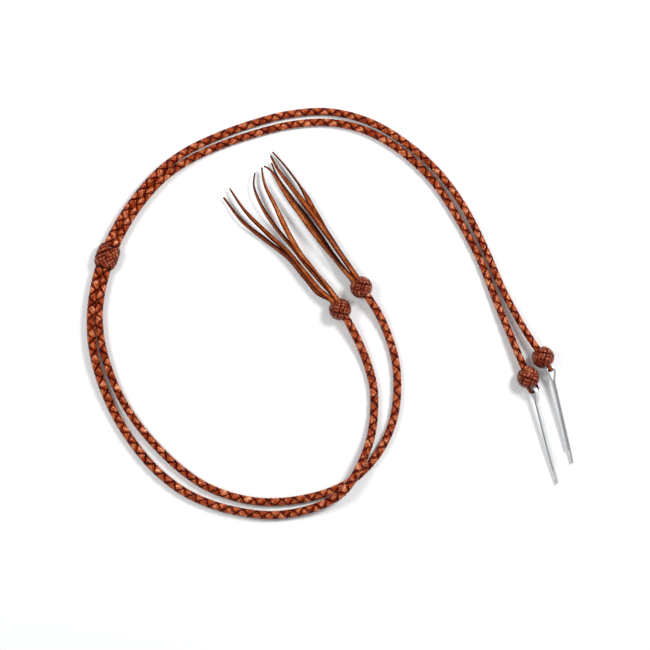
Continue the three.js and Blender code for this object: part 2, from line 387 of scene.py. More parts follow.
def lace_crest_highlight(graph, across, depth, peak):
    """Painted highlight with wear: 1 where the lace lies highest, less where it is tucked under.
    """
    top = graph.maths("SUBTRACT", 1.0, graph.power_across(across, CREST_POWER))
    top = graph.maths("MULTIPLY", top, graph.remap(depth, *CREST_FADE, 1.0, CREST_LEFT))
    return graph.maths("POWER", graph.maths("MAXIMUM", top, 0.0), peak)


def lace_rim_shade(graph, across, depth, wrinkles):
    """1 on the cut edges, broken up a little, and where the lace goes under: dark cut edges with
    painted seam shade, and painted shade where tucked.
    """
    rim_shade = graph.power_across(across, RIM_POWER)
    rim_shade = graph.maths("MULTIPLY", rim_shade, graph.spread(wrinkles, RIM_LEAST, 1.0))
    return graph.maths("MAXIMUM", rim_shade, graph.remap(depth, *TUCK_SHADE_FADE, 0.0, 1.0))


def leather(name, dark, middle, light, worn_highlight, edge_shade, gloss, coat, grain=0.5, peak=1.0):
    """Antiqued lace: a pale crest of painted highlight and wear, dark cut edges with painted seam
    shade, painted shade where tucked under, fine grain and streaks.
    """
    graph = Graph(name)
    along, across, tint = lace_parts(graph)
    depth = graph.node("ShaderNodeAttribute", attribute_name="depth").outputs["Fac"]
    place = graph.node("ShaderNodeTexCoord").outputs["Object"]
    streaks = lace_streaks(graph, along, across, tint)
    blotches = graph.noise(place, BLOTCH_SCALE, 3.0, 0.55)
    wrinkles = graph.noise(place, WRINKLE_SCALE, 2.0, 0.5)
    pores = graph.noise(place, PORE_SCALE, 3.0, 0.6)

    # The crest's share lightens the lace's top as painted highlight, with its wear.
    shade = graph.sum_of(
        (streaks, STREAK_SHARE), (blotches, BLOTCH_SHARE), (wrinkles, WRINKLE_SHARE),
        (pores, PORE_SHARE), (tint, TINT_SHARE),
        (lace_crest_highlight(graph, across, depth, peak), CREST_HIGHLIGHT_SHARE))
    body = graph.ramp(shade, list(zip(SHADE_STOPS, (dark, middle, light, worn_highlight))))
    # Painted shade: cut edges and tucked places take the near-black edge colour.
    rim_shade = lace_rim_shade(graph, across, depth, wrinkles)
    graph.set(Base_Color=graph.mix(rim_shade, body, (*edge_shade, 1.0)))

    polish = graph.spread(blotches, *(gloss + change for change in POLISH_SPREAD))
    graph.set(Roughness=graph.maths("MULTIPLY_ADD", rim_shade, RIM_DULLNESS, polish))
    relief = graph.bump(wrinkles, WRINKLE_DEPTH, grain)
    relief = graph.bump(streaks, STREAK_DEPTH, grain * 0.5, relief)
    graph.set(Normal=graph.bump(pores, PORE_DEPTH, grain, relief))
    graph.set(Specular_IOR_Level=LEATHER_SPECULAR, Specular_Tint=LEATHER_SHEEN)
    graph.set(Coat_Weight=coat, Coat_Roughness=COAT_ROUGHNESS)
    return graph.material


def thread_material():
    """Waxed twisted thread: slanting plies with a little fuzz in their tone."""
    graph = Graph("thread")
    along, across, _tint = lace_parts(graph)
    slant = graph.maths("MULTIPLY", across, TURN)
    phase = graph.maths("MULTIPLY_ADD", along, PLY_SLANT, slant)
    plies = graph.maths("ABSOLUTE", graph.maths("SINE", phase))
    place = graph.node("ShaderNodeTexCoord").outputs["Object"]
    fuzz = graph.noise(place, FUZZ_SCALE)
    tone = graph.sum_of((plies, 0.6), (fuzz, 0.4))
    stops = [(0.2, (0.010, 0.005, 0.003)), (0.9, (0.075, 0.032, 0.018))]
    graph.set(Base_Color=graph.ramp(tone, stops))
    graph.set(Roughness=graph.spread(fuzz, 0.5, 0.8))
    graph.set(Normal=graph.bump(plies, PLY_DEPTH, 0.7))
    return graph.material


def steel_material():
    """Bright zinc plating: drawn lines along the wire, dull spots and painted shade on its edges.
    """
    graph = Graph("zinc_wire")
    along, across, _tint = lace_parts(graph)
    stretched = graph.node("ShaderNodeCombineXYZ")
    graph.feed(stretched.inputs[0], graph.maths("MULTIPLY", along, WIRE_LINES_ALONG))
    graph.feed(stretched.inputs[1], graph.maths("MULTIPLY", across, WIRE_LINES_ACROSS))
    lines = graph.noise(stretched.outputs[0], 3.0, 4.0, 0.6)
    place = graph.node("ShaderNodeTexCoord").outputs["Object"]
    spots = graph.noise(place, SPOT_SCALE, 3.0, 0.6)
    stops = [(NOISE_LOW, (0.88, 0.89, 0.90)), (NOISE_HIGH, (0.97, 0.97, 0.98))]
    # Painted shade darkens the wire's edges.
    rim_shade = graph.power_across(across, WIRE_RIM_POWER)
    graph.set(Base_Color=graph.mix(rim_shade, graph.ramp(spots, stops), WIRE_RIM_SHADE))
    graph.set(Metallic=WIRE_METALLIC)
    graph.set(Roughness=graph.spread(spots, 0.34, 0.44))
    graph.set(Normal=graph.bump(lines, WIRE_LINE_DEPTH, 0.25))
    return graph.material


def floor_material():
    """White card with the faintest tooth."""
    graph = Graph("white_card")
    place = graph.node("ShaderNodeTexCoord").outputs["Object"]
    tooth = graph.noise(place, SPOT_SCALE)
    stops = [(0.0, (0.90, 0.90, 0.905)), (1.0, (0.93, 0.93, 0.93))]
    graph.set(Base_Color=graph.ramp(tooth, stops), Specular_IOR_Level=0.1, Roughness=0.9)
    return graph.material


# The fourth colour of each leather is painted highlight on the crest, with its wear; the fifth
# darkens cut edges and is painted shade at seams and where a lace is tucked under.
BRAID_LEATHER = leather(
    "braid_leather", (0.045, 0.0007, 0.0001), (0.17, 0.010, 0.001), (0.37, 0.068, 0.014),
    (0.84, 0.40, 0.22), (0.003, 0.0001, 0.0001), gloss=0.26, coat=0.18)
KNOT_LEATHER = leather(
    "knot_leather", (0.028, 0.0004, 0.0001), (0.09, 0.004, 0.0004), (0.21, 0.028, 0.006),
    (0.58, 0.24, 0.12), (0.003, 0.0001, 0.0001), gloss=0.22, coat=0.24, peak=1.3)
STRIP_LEATHER = leather(
    "strip_leather", (0.04, 0.0014, 0.0001), (0.13, 0.013, 0.0008), (0.26, 0.055, 0.009),
    (0.50, 0.19, 0.07), (0.006, 0.0003, 0.0001), gloss=0.34, coat=0.02, grain=0.7, peak=1.3)
SLEEVE_LEATHER = leather(
    "sleeve_leather", (0.045, 0.007, 0.003), (0.085, 0.016, 0.006), (0.13, 0.030, 0.012),
    (0.17, 0.045, 0.02), (0.015, 0.003, 0.001), gloss=0.6, coat=0.0, grain=0.8)
THREAD = thread_material()
STEEL = steel_material()

# ------------------------------------------------------------------ braids

BRAID_ROUTES_MM = {
    "a": [
        (2.5, 3.2, 4.45), (5.1, -0.8, 4.4), (9.4, -8.8, 3.0), (13.4, -18.4, 1.75),
        (16.2, -29.0, 1.65), (16.4, -40.0, 1.85), (15.2, -49.0, 3.1), (12.6, -57.0, 4.7),
        (8.6, -65.3, 5.3), (3.2, -72.7, 5.2), (-4.6, -77.7, 3.7), (-14.4, -81.1, 2.0),
        (-26.8, -82.6, 1.65), (-39.6, -81.2, 1.65), (-52.4, -77.8, 1.65), (-64.4, -72.0, 1.65),
        (-75.2, -63.4, 1.65), (-84.2, -52.8, 1.65), (-91.7, -40.9, 1.65), (-97.4, -27.7, 2.3),
        (-101.0, -14.0, 3.0), (-102.0, -0.5, 3.0), (-100.4, 13.3, 3.0), (-96.7, 26.4, 3.0),
        (-90.9, 38.7, 3.0), (-83.1, 50.4, 3.0), (-73.4, 61.3, 3.0), (-62.6, 69.5, 2.2),
        (-50.4, 75.6, 1.65), (-36.2, 80.9, 1.65), (-19.6, 85.3, 1.65), (-2.0, 86.4, 1.65),
        (15.0, 82.0, 1.65), (30.4, 72.8, 1.65), (44.0, 60.4, 1.65), (54.5, 45.8, 1.65),
        (63.2, 28.6, 1.65), (70.6, 11.4, 2.1), (79.6, -5.4, 3.8), (86.6, -16.0, 4.45),
    ],
    "b": [
        (11.3, 12.4, 4.45), (13.9, 8.7, 4.4), (18.2, 2.0, 3.1), (22.4, -7.4, 1.75),
        (25.4, -18.0, 1.65), (26.2, -29.6, 1.65), (24.8, -41.4, 1.65), (20.6, -52.5, 1.65),
        (14.2, -61.6, 1.65), (6.4, -68.5, 1.65), (-2.4, -72.8, 1.65), (-11.6, -75.4, 1.65),
        (-22.0, -76.9, 1.65), (-32.6, -76.8, 1.65), (-43.4, -74.6, 1.65), (-54.5, -70.2, 1.65),
        (-64.8, -63.1, 1.65), (-74.2, -54.3, 1.65), (-82.7, -44.3, 1.65), (-89.8, -33.0, 1.75),
        (-94.8, -20.8, 2.6), (-97.8, -8.8, 3.0), (-98.5, 3.6, 3.0), (-96.6, 15.2, 3.0),
        (-93.2, 26.4, 3.0), (-87.2, 38.9, 3.0), (-79.0, 50.7, 3.0), (-70.0, 59.9, 3.0),
        (-59.4, 67.0, 2.1), (-47.2, 72.6, 1.65), (-33.6, 77.2, 1.65), (-18.6, 80.9, 1.65),
        (-2.0, 81.9, 1.65), (13.2, 78.4, 1.65), (28.4, 69.6, 1.65), (41.0, 57.6, 1.65),
        (51.2, 42.6, 1.65), (60.4, 25.4, 1.65), (68.4, 5.2, 2.2), (80.5, -24.4, 4.45),
    ],
}
BRAID_PITCH_MM = 10.8
BRAID_RINGS_PER_PITCH = 56
BRAID_RING_CROWDING = 0.17
BRAID_LACE_WIDTH_MM = 3.35
BRAID_LACE_THICKNESS_MM = 0.62
BRAID_SURFACE_RADIUS_MM = 1.45
# The braid was pulled tighter towards its pin end: millimetres along it, and crest radius.
BRAID_CRESTS_MM = {
    "a": [(0, 1.74), (20, 1.86), (230, 1.9), (320, 1.78), (400, 1.62), (530, 1.56)],
    "b": [(0, 1.74), (60, 1.82), (140, 1.78), (200, 1.68), (400, 1.7), (450, 1.64), (530, 1.58)],
}
BRAID_UNDER_DROP_MM = 0.66
BRAID_UNDER_SHARE = 0.02
BRAID_HARDNESS = 6.5
BRAID_EDGE_DROP_MM = 0.1
BRAID_LEAST_RADIUS_MM = 0.05
BRAID_FACING = math.radians(45)
# A hand-made plait is uneven: its weave shifts along it and turns about its line.
BRAID_STRETCH_MM = 0.55
BRAID_STRETCH_WAVE_MM = 43.0
BRAID_DRIFTS = {"a": (math.radians(14), 0.6), "b": (math.radians(17), 2.9)}
SLOW_DRIFT_WAVES = 2.5
QUICK_DRIFT_WAVES = 7.3
# Where each of the four laces starts, which way it winds, and its tint.
BRAID_LACES = [(0.0, 1, 0.15), (math.pi, 1, 0.8), (0.0, -1, 0.45), (math.pi, -1, 0.65)]


def braid_roll(path, along, drift, phase):
    """How far the braid is twisted about its own line."""
    wave = TURN * along / path.length
    slow = np.sin(SLOW_DRIFT_WAVES * wave + phase)
    quick = np.sin(QUICK_DRIFT_WAVES * wave + phase)
    return BRAID_FACING + drift * (slow + 0.5 * quick)


def braid_lace(builder, letter, path, start, hand, tint):
    """One of the four laces: over and under its neighbours at every quarter turn."""
    pitches = path.length / MM / BRAID_PITCH_MM
    turned = np.linspace(0, TURN * pitches, round(pitches * BRAID_RINGS_PER_PITCH))[:, None]
    turned = turned + BRAID_RING_CROWDING * np.sin(4 * turned)
    along = turned / TURN * BRAID_PITCH_MM
    along = along + BRAID_STRETCH_MM * np.sin(TURN * along / BRAID_STRETCH_WAVE_MM)
    along = along * MM
    turned = start + hand * turned
    over = plateau(hand * np.cos(2 * turned) - BRAID_UNDER_SHARE, BRAID_HARDNESS)

    slant = math.atan2(TURN * BRAID_SURFACE_RADIUS_MM, BRAID_PITCH_MM)
    offset = SECTION_ACROSS * BRAID_LACE_WIDTH_MM / 2
    place = along - hand * offset * math.sin(slant) * MM
    angle = turned + offset * math.cos(slant) / BRAID_SURFACE_RADIUS_MM
    angle = angle + braid_roll(path, along, *BRAID_DRIFTS[letter])

    crest = np.interp(along / MM, *zip(*BRAID_CRESTS_MM[letter]))
    middle = crest - BRAID_LACE_THICKNESS_MM / 2
    radius = middle - BRAID_UNDER_DROP_MM * (1 - over) / 2
    radius = radius + SECTION_UP * BRAID_LACE_THICKNESS_MM / 2
    radius = radius - BRAID_EDGE_DROP_MM * np.abs(SECTION_ACROSS) ** CROWN_POWER
    radius = np.maximum(radius, BRAID_LEAST_RADIUS_MM) * MM

    centre, side, up = path.at(place)
    radial = side * np.cos(angle)[..., None] + up * np.sin(angle)[..., None]
    rings = centre + radial * radius[..., None]
    tucked = (1 - hand * np.cos(2 * turned)) / 2
    builder.add(rings, along, SECTION_ACROSS, tint, tucked, flip=True)


def braided_cord(letter):
    path = Path(catmull_rom(np.array(BRAID_ROUTES_MM[letter]) * MM))
    builder = Builder()
    for start, hand, tint in BRAID_LACES:
        braid_lace(builder, letter, path, start, hand, tint)
    piece = builder.build(f"braided_cord_{letter}", BRAID_LEATHER, floor=0.0)
    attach(piece, "string")
    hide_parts(f"cord_{letter}")


for string_letter in "ab":
    braided_cord(string_letter)

# ------------------------------------------------------------- woven knots

# Strands side by side along the knot, and turns at its rim.
WEAVE_LEADS = 5
WEAVE_BIGHTS = 6
KNOT_RINGS = 560
WEAVE_HARDNESS = 3.0
# Hand work: how far the lace strays round the knot and along it, and how often.
WEAVE_WAVER = 0.06
ROUND_WAVERS = 3
LENGTH_WAVERS = 4
PASS_SPREAD = 0.94
BIGHT_ROUNDNESS = 0.93
PASS_TINTS = (0.3, 0.7)


def over_under(phase):
    """1 where a strand of the knot lies over the one it crosses, -1 where it is under."""
    phase = (phase + math.pi) % TURN - math.pi
    way = np.where(phase < 0, -1.0, 1.0)
    reach = math.pi / WEAVE_LEADS
    to_far = math.pi - np.abs(phase)
    value = np.cos(WEAVE_LEADS * phase) * way
    value = np.where(np.abs(phase) < reach, -np.sin(WEAVE_LEADS * phase / 2), value)
    far_sign = (-1.0) ** (WEAVE_LEADS - 1)
    far_value = way * far_sign * np.sin(WEAVE_LEADS * to_far / 2)
    return np.where(to_far < reach, far_value, value)


def lace_line(around, offset, amplitude):
    """Where one pass of the lace runs: round the knot, and along it."""
    ratio = WEAVE_BIGHTS / WEAVE_LEADS
    waver = around / WEAVE_LEADS
    a = around + offset + WEAVE_WAVER * np.sin(ROUND_WAVERS * waver + WEAVE_BIGHTS)
    swing = np.arcsin(BIGHT_ROUNDNESS * np.cos(ratio * around)) / math.asin(BIGHT_ROUNDNESS)
    b = amplitude * swing * (1 + WEAVE_WAVER * np.sin(LENGTH_WAVERS * waver))
    return a, b, over_under(ratio * around + ratio * offset / 2)[:, None]


def woven_cover(builder, surface, scales, amplitude, width, thickness, drop, edge_drop):
    """A doubled interweaving of one lace.

    surface(a, b, height) gives points; a runs round the knot from 0 to a full turn
    and b runs along it. scales(b) gives the millimetres that a unit of a and of b are.
    """
    around = np.linspace(0, TURN * WEAVE_LEADS, KNOT_RINGS, endpoint=False)
    spacing = PASS_SPREAD * math.pi / WEAVE_BIGHTS
    for offset, tint in zip((-spacing / 2, spacing / 2), PASS_TINTS):
        a, b, over = lace_line(around, offset, amplitude)
        scale_a, scale_b = scales(b)
        step_a = np.gradient(a) * scale_a
        step_b = (np.roll(b, -1) - np.roll(b, 1)) / 2 * scale_b
        size = np.hypot(step_a, step_b)
        shift = SECTION_ACROSS * width / 2
        a_points = a[:, None] + shift * (step_b / size / scale_a)[:, None]
        b_points = b[:, None] - shift * (step_a / size / scale_b)[:, None]
        sink = drop * (1 - plateau(over, WEAVE_HARDNESS)) / 2
        height = SECTION_UP * thickness / 2 - thickness / 2 - sink
        height = height - edge_drop * np.abs(SECTION_ACROSS) ** CROWN_POWER
        rings = surface(a_points, b_points, height) * MM
        along = np.cumsum(size) * MM
        builder.add(rings, along, SECTION_ACROSS, tint, (1 - over) / 2, closed=True)


BALL_RADIUS_MM = 4.75
BALL_HEIGHT_MM = 4.45
BALL_SPREAD = math.radians(55)
BALL_LACE_WIDTH_MM = 1.9
BALL_LACE_THICKNESS_MM = 0.75
BALL_UNDER_DROP_MM = 0.7
BALL_EDGE_DROP_MM = 0.2
BALL_CORE_RADIUS_MM = 3.5
BALL_BORE_RADIUS_MM = 2.15
BALL_CORE_SPREAD = math.radians(38)
CORE_RINGS = 48
CORE_OUTSIDE_POINTS = 12
CORE_BORE_POINTS = 6


def ball_surface(longitude, latitude, height):
    radius = BALL_RADIUS_MM + height
    flat = radius * np.cos(latitude)
    x = radius * np.sin(latitude)
    return np.stack([x, flat * np.cos(longitude), flat * np.sin(longitude)], axis=-1)


def ball_scales(latitude):
    return BALL_RADIUS_MM * np.cos(latitude), np.full_like(latitude, BALL_RADIUS_MM)


def ball_core(builder):
    """The bead of leather under the lace, with a bore for the cord; it is all coloured in the
    painted shade of a tucked-under lace.
    """
    arc = np.linspace(-BALL_CORE_SPREAD, BALL_CORE_SPREAD, CORE_OUTSIDE_POINTS)
    outer = np.stack([BALL_CORE_RADIUS_MM * np.sin(arc), BALL_CORE_RADIUS_MM * np.cos(arc)], 1)
    inner_x = np.linspace(outer[-1, 0], outer[0, 0], CORE_BORE_POINTS)
    inner = np.stack([inner_x, np.full(CORE_BORE_POINTS, BALL_BORE_RADIUS_MM)], 1)
    profile = np.vstack([outer, inner])
    angle = np.linspace(0, TURN, CORE_RINGS, endpoint=False)[:, None]
    x = np.broadcast_to(profile[:, 0], (CORE_RINGS, len(profile)))
    radius = profile[:, 1]
    rings = np.stack([x, radius * np.cos(angle), radius * np.sin(angle)], axis=-1) * MM
    along = angle * BALL_CORE_RADIUS_MM * MM
    builder.add(rings, along, across=1.0, tint=0.0, depth=1.0, closed=True)


# Where each ball knot sits, and the heading in which its tassel or strap leaves it.
TASSEL_KNOTS = {
    "a": ((2.2, 3.6, BALL_HEIGHT_MM), math.radians(122)),
    "b": ((11.0, 12.8, BALL_HEIGHT_MM), math.radians(126.2)),
}
PIN_KNOTS = {
    "a": ((86.9, -16.4, BALL_HEIGHT_MM), math.radians(-58.7)),
    "b": ((80.7, -24.8, BALL_HEIGHT_MM), math.radians(-66)),
}
# How far each knot is turned about its bore, in radians.
KNOT_ROLLS = {"tassel_a": 0.2, "tassel_b": 1.3, "pin_a": 2.2, "pin_b": 0.9}


def ball_knot(kind, letter, position, heading, roll):
    builder = Builder()
    woven_cover(
        builder, ball_surface, ball_scales, BALL_SPREAD, BALL_LACE_WIDTH_MM,
        BALL_LACE_THICKNESS_MM, BALL_UNDER_DROP_MM, BALL_EDGE_DROP_MM)
    ball_core(builder)
    matrix = placed(position, heading, roll=roll)
    piece = builder.build(f"woven_{kind}_knot_{letter}", KNOT_LEATHER, matrix, floor=0.0)
    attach(piece, "string")
    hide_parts(f"{kind}_knot_{letter}")


WHIPPING_RADIUS_MM = 1.98
WHIPPING_THREAD_MM = 0.34
WHIPPING_TURNS = 3.6
WHIPPING_START_MM = -3.5
WHIPPING_LENGTH_MM = 2.6
WHIPPING_RINGS = 160
WHIPPING_SIDES = 10


def whipping(kind, letter, position, heading):
    """Thread wound round the braid's end, inside the knot."""
    angle = np.linspace(0, TURN * WHIPPING_TURNS, WHIPPING_RINGS)
    travel = np.linspace(0, 1, WHIPPING_RINGS) * (WHIPPING_LENGTH_MM - 2 * WHIPPING_THREAD_MM)
    x = WHIPPING_START_MM + WHIPPING_THREAD_MM + travel
    line = np.stack([x, WHIPPING_RADIUS_MM * np.cos(angle), WHIPPING_RADIUS_MM * np.sin(angle)], 1)
    path = Path(line * MM, X_AXIS)
    round_angle = np.linspace(0, TURN, WHIPPING_SIDES, endpoint=False)
    cos = np.cos(round_angle)[:, None]
    sin = np.sin(round_angle)[:, None]
    centre, side, up = path.at(path.along)
    ring = side[:, None] * cos + up[:, None] * sin
    rings = centre[:, None] + ring * WHIPPING_THREAD_MM * MM
    builder = Builder()
    builder.add(rings, path.along, round_angle / TURN, tint=0.5, flip=True)
    matrix = placed(position, heading)
    piece = builder.build(f"whipping_{kind}_{letter}", THREAD, matrix)
    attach(piece, "string")
    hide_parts(f"{kind}_binding_{letter}")


for knot_kind, knots in (("tassel", TASSEL_KNOTS), ("pin", PIN_KNOTS)):
    for knot_letter, (knot_place, knot_heading) in knots.items():
        knot_roll = KNOT_ROLLS[f"{knot_kind}_{knot_letter}"]
        ball_knot(knot_kind, knot_letter, knot_place, knot_heading, knot_roll)
        whipping(knot_kind, knot_letter, knot_place, knot_heading)

# -------------------------------------------------------------- slide knot

# Centre and radius of the arc that both braids follow, and the knot's place on it.
SLIDE_TRACK_MM = (-14.0, -3.5)
SLIDE_TRACK_RADIUS_MM = 86.3
SLIDE_ANGLE = math.radians(160.2)
SLIDE_HEIGHT_MM = 3.0
SLIDE_LENGTH_MM = 10.9
SLIDE_HALF_WIDTH_MM = 4.85
SLIDE_HALF_HEIGHT_MM = 3.0
SLIDE_CORNER_MM = 2.7
SLIDE_LACE_WIDTH_MM = 1.75
SLIDE_LACE_THICKNESS_MM = 0.6
SLIDE_UNDER_DROP_MM = 0.5
SLIDE_EDGE_DROP_MM = 0.16
# How far the cover's ends draw in, sideways and upwards.
SLIDE_END_DROPS_MM = (1.5, 0.95)
SLIDE_END_POWER = 3.5
OUTLINE_SAMPLES = 721


def slide_outline():
    """Length along the rounded rectangle, its points and its outward normals."""
    angle = np.linspace(0, TURN, OUTLINE_SAMPLES)
    normal = np.stack([np.cos(angle), np.sin(angle)], 1)
    inset = np.array([SLIDE_HALF_WIDTH_MM, SLIDE_HALF_HEIGHT_MM]) - SLIDE_CORNER_MM
    points = np.sign(np.round(normal, 9)) * inset + normal * SLIDE_CORNER_MM
    steps = np.linalg.norm(np.diff(points, axis=0), axis=1)
    return np.concatenate([[0.0], np.cumsum(steps)]), points, normal


OUTLINE_ALONG, OUTLINE_POINTS, OUTLINE_NORMALS = slide_outline()
OUTLINE_LENGTH_MM = OUTLINE_ALONG[-1]


def slide_outline_at(around, along, sideways, upwards):
    """Points on the outline, moved out from it by these heights."""
    place = (around / TURN % 1.0) * OUTLINE_LENGTH_MM
    points, normals = (
        [np.interp(place, OUTLINE_ALONG, values[:, axis]) for axis in (0, 1)]
        for values in (OUTLINE_POINTS, OUTLINE_NORMALS))
    x = points[0] + normals[0] * sideways
    z = points[1] + normals[1] * upwards
    return np.stack([x, along + 0 * x, z], axis=-1)


def slide_surface(around, along, height):
    end = np.abs(along) / (SLIDE_LENGTH_MM / 2)
    sideways, upwards = (height - drop * end**SLIDE_END_POWER for drop in SLIDE_END_DROPS_MM)
    return slide_outline_at(around, along, sideways, upwards)


def slide_scales(along):
    return np.full_like(along, OUTLINE_LENGTH_MM / TURN), np.ones_like(along)


def slide_matrix():
    x = SLIDE_TRACK_MM[0] + SLIDE_TRACK_RADIUS_MM * math.cos(SLIDE_ANGLE)
    y = SLIDE_TRACK_MM[1] + SLIDE_TRACK_RADIUS_MM * math.sin(SLIDE_ANGLE)
    return placed((x, y, SLIDE_HEIGHT_MM), SLIDE_ANGLE)


def slide_knot():
    builder = Builder()
    reach = (SLIDE_LENGTH_MM / 2 - SLIDE_LACE_WIDTH_MM / 2) / (1 + WEAVE_WAVER)
    woven_cover(
        builder, slide_surface, slide_scales, reach, SLIDE_LACE_WIDTH_MM,
        SLIDE_LACE_THICKNESS_MM, SLIDE_UNDER_DROP_MM, SLIDE_EDGE_DROP_MM)
    piece = builder.build("woven_slide_knot", KNOT_LEATHER, slide_matrix(), floor=0.0)
    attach(piece, "slide")
    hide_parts("slide_knot")


LINER_HALF_LENGTH_MM = 3.9
LINER_RINGS = 96
# Along the sleeve as a share of its half length, and height from the cover's outline.
LINER_PROFILE = [
    (-0.98, -0.80), (-0.6, -0.78), (0.6, -0.78), (0.98, -0.80), (1.0, -0.85),
    (0.98, -0.90), (0.6, -0.92), (-0.6, -0.92), (-0.98, -0.90), (-1.0, -0.85),
]


def slide_liner():
    """The inner sleeve of soft leather, through which both braids run."""
    profile = np.array(LINER_PROFILE)
    size = (LINER_RINGS, len(profile))
    around = np.linspace(0, TURN, LINER_RINGS, endpoint=False)[:, None]
    along = np.broadcast_to(profile[:, 0] * LINER_HALF_LENGTH_MM, size)
    height = np.broadcast_to(profile[:, 1], size)
    rings = slide_outline_at(around + 0 * along, along, height, height) * MM
    builder = Builder()
    builder.add(rings, around * SLIDE_CORNER_MM * MM, across=0.3, tint=0.5, closed=True)
    piece = builder.build("slide_liner", SLEEVE_LEATHER, slide_matrix())
    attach(piece, "slide")
    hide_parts("slide_sleeve")


slide_knot()
slide_liner()

# ----------------------------------------------------------------- tassels

STRIP_HALF_WIDTH_MM = 1.12
STRIP_HALF_THICKNESS_MM = 0.40
STRIP_TIP_SHARE = 0.32
STRIP_TAPER_LENGTH_MM = 26.0
STRIP_ROOT_SHARE = 0.95
STRIP_SWELL_LENGTH_MM = 20.0
STRIP_TIP_THICKNESS = 0.6
STRIP_TAPER_POWER = 0.8
STRIP_WAVER = 0.05
STRIP_WAVER_STEP = 0.55
STRIP_WAVER_SHIFT = 2.1
STRIP_RINGS = 150
BUNDLE_SIDEWAYS_MM = 1.05
BUNDLE_UPWARDS_MM = 0.6
BUNDLE_ROOT_MM = 0.5
BUNDLE_MOUTH_MM = 5.2
# Square-cut lace: flat faces and tight corners.
STRIP_SECTION = np.array([
    (-1.0, -0.55), (-1.0, 0.55), (-0.93, 0.9), (-0.5, 1.0), (0.0, 1.0), (0.5, 1.0),
    (0.93, 0.9), (1.0, 0.55), (1.0, -0.55), (0.93, -0.9), (0.5, -1.0), (0.0, -1.0),
    (-0.5, -1.0), (-0.93, -0.9),
])
STRIP_ACROSS = STRIP_SECTION[:, 0]
STRIP_ABOVE = STRIP_SECTION[:, 1]

# Side and layer in the bundle, twist in degrees at even steps, and the free route.
TASSEL_STRIPS = {
    "a": [
        (-1, -1, (0, 25, 50, 45, 40), [
            (-7.2, 10.8, 3.3), (-12.6, 17.3, 2.6), (-19.6, 25.4, 2.0), (-29.0, 32.7, 2.2),
            (-38.8, 40.6, 2.6), (-46.7, 50.6, 1.6)]),
        (-1, 1, (0, -30, -50, -40, -55), [
            (-6.6, 11.9, 4.8), (-12.2, 18.5, 4.4), (-18.8, 26.6, 4.2), (-28.0, 35.2, 4.2),
            (-37.2, 44.4, 3.6), (-44.0, 54.2, 2.4)]),
        (1, -1, (0, 35, 60, 50, 65), [
            (-4.6, 14.0, 3.3), (-10.6, 20.8, 2.8), (-17.5, 29.2, 2.4), (-25.2, 38.6, 2.6),
            (-31.2, 48.0, 3.4), (-33.9, 55.5, 3.4), (-33.5, 60.7, 2.6)]),
        (1, 1, (0, -60, 0, -25, -60), [
            (-3.5, 13.6, 5.0), (-8.9, 20.2, 5.2), (-14.6, 27.0, 5.4), (-19.4, 35.4, 5.2),
            (-25.0, 47.0, 4.4), (-29.3, 56.0, 3.6), (-30.6, 63.0, 3.0)]),
    ],
    "b": [
        (1, -1, (0, 20, 10, -70, -60), [
            (3.4, 25.4, 3.4), (-3.4, 35.8, 3.2), (-8.6, 44.8, 3.4), (-14.0, 54.4, 3.2),
            (-20.4, 63.2, 2.2), (-26.1, 69.7, 1.4)]),
        (1, 1, (0, -45, -30, 0, 40), [
            (2.4, 26.4, 5.6), (-4.6, 36.6, 5.8), (-11.2, 45.8, 5.6), (-17.6, 54.0, 4.8),
            (-23.4, 61.6, 3.6), (-26.9, 67.9, 2.6)]),
        (-1, -1, (0, 30, 45, 60, 70), [
            (0.2, 24.8, 3.2), (-6.6, 34.8, 3.0), (-13.4, 44.2, 3.0), (-19.8, 52.8, 3.0),
            (-24.4, 59.8, 2.2), (-26.6, 65.1, 1.0)]),
        (-1, 1, (0, 60, 20, 0, 50), [
            (0.0, 24.4, 5.3), (-7.6, 34.0, 5.6), (-14.6, 43.6, 5.8), (-20.9, 52.2, 6.0),
            (-24.6, 58.6, 5.6), (-27.0, 61.8, 5.0), (-29.5, 63.4, 4.2)]),
    ],
}


def bundle_point(letter, distance, side, layer):
    """Where a strip is, this far out along the knot's axis."""
    (x, y, z), heading = TASSEL_KNOTS[letter]
    across = side * BUNDLE_SIDEWAYS_MM
    return (
        x + distance * math.cos(heading) + across * math.sin(heading),
        y + distance * math.sin(heading) - across * math.cos(heading),
        z + layer * BUNDLE_UPWARDS_MM,
    )


def ribbon(builder, path, along, half_width, half_thickness, twist, tint):
    """A flat strip along a path, twisted about its own line."""
    centre, side, up = path.at(along)
    cos, sin = np.cos(twist)[:, None], np.sin(twist)[:, None]
    wide = side * cos + up * sin
    thick = up * cos - side * sin
    across = STRIP_ACROSS[:, None] * (wide * half_width[:, None])[:, None]
    above = STRIP_ABOVE[:, None] * (thick * half_thickness[:, None])[:, None]
    builder.add(centre[:, None] + across + above, along, STRIP_ACROSS, tint, flip=True)


def smooth_steps(values, share):
    """A smooth curve through values at even steps of the share."""
    place = np.clip(share, 0, 1) * (len(values) - 1)
    step = np.minimum(place.astype(int), len(values) - 2)
    part = place - step
    values = np.array(values, float)
    return values[step] + (values[step + 1] - values[step]) * part * part * (3 - 2 * part)


